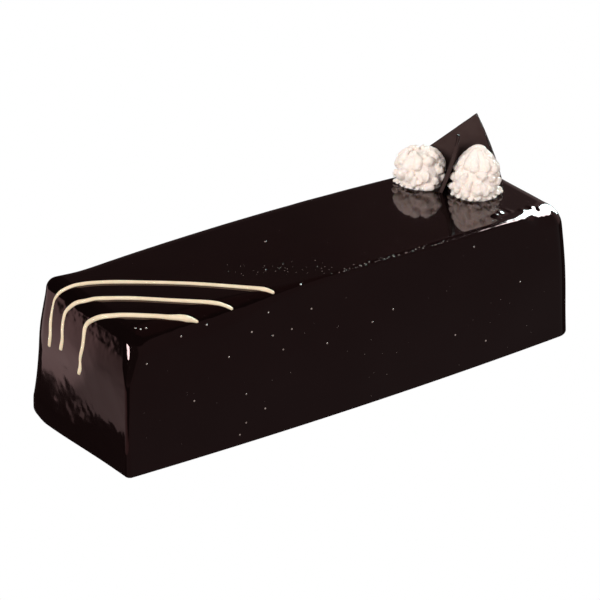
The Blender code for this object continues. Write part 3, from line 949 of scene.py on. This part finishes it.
def make_tall_plate(surface):
    """A square plate of chocolate on its corner, with a bowed right side."""
    along = Vector((-math.cos(TALL_HEADING), -math.sin(TALL_HEADING), 0))
    through = Vector((-along.y, along.x, 0))
    lean = Vector((-math.sin(TALL_RIGHT_LEAN), math.cos(TALL_RIGHT_LEAN)))
    outward = Vector((lean.y, -lean.x))
    apex = lean * TALL_SIDE
    left = apex - Vector((math.cos(TALL_LEFT_DROP), math.sin(TALL_LEFT_DROP))) * TALL_SIDE
    left_foot = left - lean * (left.y / lean.y)
    level = height_of_top(surface, *TALL_FOOT) + GAP

    def middle(rise, share):
        right_side = apex * rise + outward * TALL_EDGE_BOW * 4 * rise * (1 - rise)
        left_side = left_foot * (1 - rise) + left * rise
        sideways, up = right_side * (1 - share) + left_side * share
        return Vector((*TALL_FOOT, level + up)) + along * sideways

    rows = plate_rows(surface, middle, through, TALL_COLUMNS)
    return plate_piece("chocolate_plate_tall_fine", rows)


def make_slim_plate(surface):
    """A thin blade of chocolate that stands between the rosettes."""
    back, upwards, through = slim_frame()
    level = height_of_top(surface, *SLIM_FOOT) + GAP

    def middle(rise, share):
        up = SLIM_HEIGHT * rise
        past_shoulder = max(0.0, (up - SLIM_SHOULDER) / (SLIM_HEIGHT - SLIM_SHOULDER))
        width = SLIM_WIDTH + (SLIM_TIP_WIDTH - SLIM_WIDTH) * past_shoulder
        bowed = upwards * up + through * SLIM_BOW * 4 * rise * (1 - rise)
        return Vector((*SLIM_FOOT, level)) + back * width * share + bowed

    rows = plate_rows(surface, middle, through, SLIM_COLUMNS)
    return plate_piece("chocolate_plate_slim_fine", rows)


# ---- studio


def glow_material():
    """Light of the colour that each point of the mesh holds."""
    made = bpy.data.materials.new("card_glow")
    made.use_nodes = True
    nodes = made.node_tree.nodes
    nodes.clear()
    colour = nodes.new("ShaderNodeAttribute")
    colour.attribute_name = "glow"
    light = fill(nodes.new("ShaderNodeEmission"), Color=colour.outputs["Color"])
    fill(nodes.new("ShaderNodeOutputMaterial"), Surface=light.outputs["Emission"])
    made.cycles.emission_sampling = "NONE"
    return made


GLOW = glow_material()


def only_for(item, *kinds):
    """Lets only these kinds of ray see the item."""
    for kind in ("camera", "diffuse", "glossy", "transmission", "volume_scatter", "shadow"):
        setattr(item, "visible_" + kind, kind in kinds)


def card(name, grid, glow, cut_out=False):
    """A studio card that only reflections see. grid is rows of points, glow their light.

    A card that is cut out has no faces where it gives no light, so it hides nothing behind them.
    """
    columns = len(grid[0])
    points = [point for row in grid for point in row]
    values = np.ones((len(points), 4))
    values[:, :3] = [colour for row in glow for colour in row]
    faces = []
    for start in range(0, len(points) - columns, columns):
        for a in range(start, start + columns - 1):
            face = (a, a + 1, a + columns + 1, a + columns)
            if not cut_out or values[list(face), 0].all():
                faces.append(face)
    made = new_mesh_object(name, points, faces, GLOW, smooth=False)
    layer = made.data.color_attributes.new("glow", "FLOAT_COLOR", "POINT")
    layer.data.foreach_set("color", values.ravel())
    only_for(made, "glossy")


def heading(bearing, elevation):
    """Unit vector. bearing is in degrees from +X towards +Y."""
    b, e = math.radians(bearing), math.radians(elevation)
    return np.array((math.cos(b) * math.cos(e), math.sin(b) * math.cos(e), math.sin(e)))


# The cards' spheres are centred on MIDDLE, and the lights are turned to LIT_PLACE.
MIDDLE = np.array((0, 0, 0.06))
LIT_PLACE = Vector((0, 0, 0.08))
DOME_RADIUS, FRONT_RADIUS, WINDOW_RADIUS = 12.0, 10.0, 9.0
FLOOR_RADIUS, BACKDROP_RADIUS = 9.0, 9.5
FLOOR_LEVEL = -0.3 * MM


def sky_card(name, bearings, elevations, radius, glow, cut_out=False):
    """A piece of a large sphere round the cake. glow(bearing, elevation) gives its light."""
    grid = [[MIDDLE + heading(b, e) * radius for b in bearings] for e in elevations]
    card(name, grid, [[glow(b, e) for b in bearings] for e in elevations], cut_out)


BROWN = np.array((1.0, 0.62, 0.60))
PALE = np.array((0.95, 0.76, 0.73))
FRONT_LIGHT = np.array((0.17, 0.18, 0.18))
WINDOW_LIGHT = np.array((30.0, 46.0, 46.0))
TABLE_TONE = np.array((1.0, 0.81, 0.79))

# The bright window over the right end: bearings, and its lower and upper sides there, in degrees.
WINDOW_BEARINGS = (-31, -28, -12, -5, 4, 12, 20, 24, 33)
WINDOW_BELOW = (33, 32.5, 31, 30.5, 29, 20, -3, -3, -3)
WINDOW_ABOVE = (33.5, 44, 46, 47, 47, 47, 44.5, 42, 28)

# Where the dark strip of table next to the left end stops, from its back to its front, in mm.
DARK_STRIP = (
    (-176, 150), (-190, 112), (-194, 92), (-194, 84), (-193, 76), (-192, 68), (-190, 59), (-187, 50),
    (-185, 43), (-182, 34), (-180, 27), (-179, 18), (-178, 10), (-177, 3), (-176, -10), (-175, -30),
    (-174, -70), (-172, -160),
)
TABLE_EDGE_SLOPE = 1.30
TABLE_EDGE_START = 115


def dome_glow(bearing, elevation):
    """Dim brown light: most of it low over the back and over the front, and paler to the right."""
    if elevation < -3:
        return BROWN * 0.03
    side = ramp(112, 96, bearing) * ramp(-56, -38, bearing)
    dim = ramp(29, 32.5, elevation) * ramp(48, 56, bearing)
    level = 0.008 + side * (0.054 - 0.038 * dim)
    level += 0.018 * side * ramp(54, 51.5, bearing)
    right = ramp(-32, -10, bearing) * ramp(44, 34, elevation)
    pale = right * (0.06 * ramp(50.2, 48.8, bearing) + 0.22 * ramp(47, 41, bearing))
    return BROWN * level + PALE * pale


def front_glow(bearing, elevation):
    """Even light over the front, fading towards the left end above the table."""
    return FRONT_LIGHT * (1 - 0.75 * ramp(-110, -125, bearing) * ramp(-2, 8, elevation))


def window_glow(bearing, elevation):
    """White inside the window's outline, and nothing outside it."""
    below = np.interp(bearing, WINDOW_BEARINGS, WINDOW_BELOW)
    above = np.interp(bearing, WINDOW_BEARINGS, WINDOW_ABOVE)
    return WINDOW_LIGHT * float(below < elevation < above)


def table_light(x, y):
    """How bright the table is at a place in millimetres, as the left end sees it."""
    away = -150 - x
    steep = (y - 18) / max(away, 1)
    sunny = float(ramp(0.98, 1.24, steep))
    across = np.array([[0.9 * x + 0.44 * y, 0, 0]])
    folds = noise(across, 9.0, 41)[0] + 0.5 * noise(across, 4.0, 42)[0]
    inside = y - (TABLE_EDGE_SLOPE * away - TABLE_EDGE_START)
    on_table = float(ramp(-4 - 0.01 * away, 4 + 0.01 * away, inside))
    close_by = float(ramp(270, 230, away) * ramp(-90, -50, y))
    return max(on_table, close_by) * (0.42 + 0.6 * sunny + 0.07 * folds)


def table_card():
    """The pale table that the left end reflects. Next to the cake it is dark."""
    edge_x, edge_y = np.array(DARK_STRIP).T
    places = np.linspace(0, len(edge_x) - 1, 241)
    xs = np.interp(places, range(len(edge_x)), edge_x)
    ys = np.interp(places, range(len(edge_y)), edge_y)
    grid, glow = [], []
    for away in (0, 5, 10, 16, 22, 30, 40, 55, 75, 110, 180, 300, 600, 900, 1250, 2500, 5000):
        row = [(x - away, y * (1 + away / 60) + away) for x, y in zip(xs, ys)]
        grid.append([(x * MM, y * MM, -1 * MM) for x, y in row])
        glow.append([TABLE_TONE * table_light(x, y) for x, y in row])
    card("card_table", grid, glow)


def add_cards():
    """The cards that the glaze reflects."""
    levels = (-90, -60, -30, -10, -3, -2.9, *range(46), *range(46, 92, 4))
    sky_card("card_dome", range(-180, 181), levels, DOME_RADIUS, dome_glow)
    sky_card("card_front", np.linspace(-175, -18, 53), range(-75, 51, 5), FRONT_RADIUS, front_glow)
    bearings = np.linspace(WINDOW_BEARINGS[0], WINDOW_BEARINGS[-1], 129)
    levels = np.linspace(min(WINDOW_BELOW), max(WINDOW_ABOVE), 101)
    sky_card("card_window", bearings, levels, WINDOW_RADIUS, window_glow, cut_out=True)
    corner = (164, 169.5, 175, 180.5, 186), (16, 21.5, 27)
    sky_card("card_corner", *corner, WINDOW_RADIUS, lambda bearing, elevation: WINDOW_LIGHT)
    table_card()


def area_light(name, place, size, power, colour):
    """A square light that is turned to the cake, and that glossy reflections don't see."""
    data = bpy.data.lights.new(name, "AREA")
    data.size = size
    data.energy = power
    data.color = colour
    made = new_object(name, data)
    made.location = place
    made.rotation_euler = (LIT_PLACE - Vector(place)).to_track_quat("-Z", "Y").to_euler()
    made.visible_glossy = False


def add_lights():
    """A broad key from the left, a weak fill from the front, and an even room."""
    area_light("key", place=(-1.9, -0.9, 1.35), size=0.9, power=42, colour=(1.0, 0.97, 0.94))
    area_light("fill", place=(0.4, -2.0, 1.5), size=1.6, power=12, colour=(1.0, 0.98, 0.97))
    world = bpy.data.worlds.new("room")
    bpy.context.scene.world = world
    world.use_nodes = True
    fill(world.node_tree.nodes["Background"], Color=(1.0, 0.97, 0.95, 1), Strength=0.55)


def white_object(name, mesh, level):
    """An even white object that gives its own light, and that only the camera sees."""
    data = bpy.data.meshes.new(name)
    mesh.to_mesh(data)
    mesh.free()
    glow, shader = plain_finish("pale_" + name, Base_Color=(0, 0, 0, 1), Roughness=1)
    fill(shader, Specular_IOR_Level=0, Emission_Color=(1, 1, 1, 1), Emission_Strength=1)
    data.materials.append(glow)
    made = new_object(name, data)
    made.location.z = level
    only_for(made, "camera")
    return made


def add_floor():
    """A white floor just below the cake, and a white backdrop round it."""
    disc, ball = bmesh.new(), bmesh.new()
    bmesh.ops.create_circle(disc, cap_ends=True, segments=96, radius=FLOOR_RADIUS)
    bmesh.ops.create_uvsphere(ball, u_segments=48, v_segments=24, radius=BACKDROP_RADIUS)
    floor = white_object("floor", disc, FLOOR_LEVEL)
    backdrop = white_object("backdrop", ball, 0)


# ---- camera

# Where the camera is, seen from its target: degrees and metres. It is moved to the right and up by
# CAMERA_SHIFT. The lens and the sensor are in millimetres.
CAMERA_BEARING, CAMERA_ELEVATION, CAMERA_ROLL = -126.027, 26.104, 0.634
CAMERA_TARGET = Vector((10.70, 21.42, 30.31)) * MM
CAMERA_DISTANCE = 1.88383
CAMERA_SHIFT = (-0.22 * MM, 0.33 * MM)
CAMERA_LENS, CAMERA_SENSOR = 204.69, 36


def add_camera():
    """The photograph's view: from the front left, a little above the top."""
    back = Vector(heading(CAMERA_BEARING, CAMERA_ELEVATION))
    right = (-back).cross(Vector((0, 0, 1))).normalized()
    up = right.cross(-back)
    roll = math.radians(CAMERA_ROLL)
    rolled = math.cos(roll) * right + math.sin(roll) * up
    upright = -math.sin(roll) * right + math.cos(roll) * up
    data = bpy.data.cameras.new("camera")
    data.sensor_width = CAMERA_SENSOR
    data.lens = CAMERA_LENS
    data.clip_start = 0.05
    data.clip_end = 60
    camera = new_object("camera", data)
    target = CAMERA_TARGET + Vector((CENTRING, 0, 0)) + right * CAMERA_SHIFT[0] + up * CAMERA_SHIFT[1]
    matrix = Matrix((rolled, upright, back)).transposed().to_4x4()
    matrix.translation = target + back * CAMERA_DISTANCE
    camera.matrix_world = matrix
    bpy.context.scene.camera = camera


# ---- the scene

bar = make_bar()
finish_piece(bar, "cake")
bpy.context.view_layer.update()
surface = BVHTree.FromObject(bar, bpy.context.evaluated_depsgraph_get())
finish_piece(make_bubbles(surface), "cake")
for number in range(len(BEADS_IN_MM)):
    finish_piece(make_bead(number, surface), "cake")
for name, facts in ROSETTES.items():
    finish_piece(make_rosette(name, facts, surface), name)
for name, make_plate in (("tall", make_tall_plate), ("slim", make_slim_plate)):
    finish_piece(make_plate(surface), "chocolate_plate_" + name)

add_cards()
add_lights()
add_floor()
add_camera()
bpy.context.scene.view_settings.view_transform = "Standard"
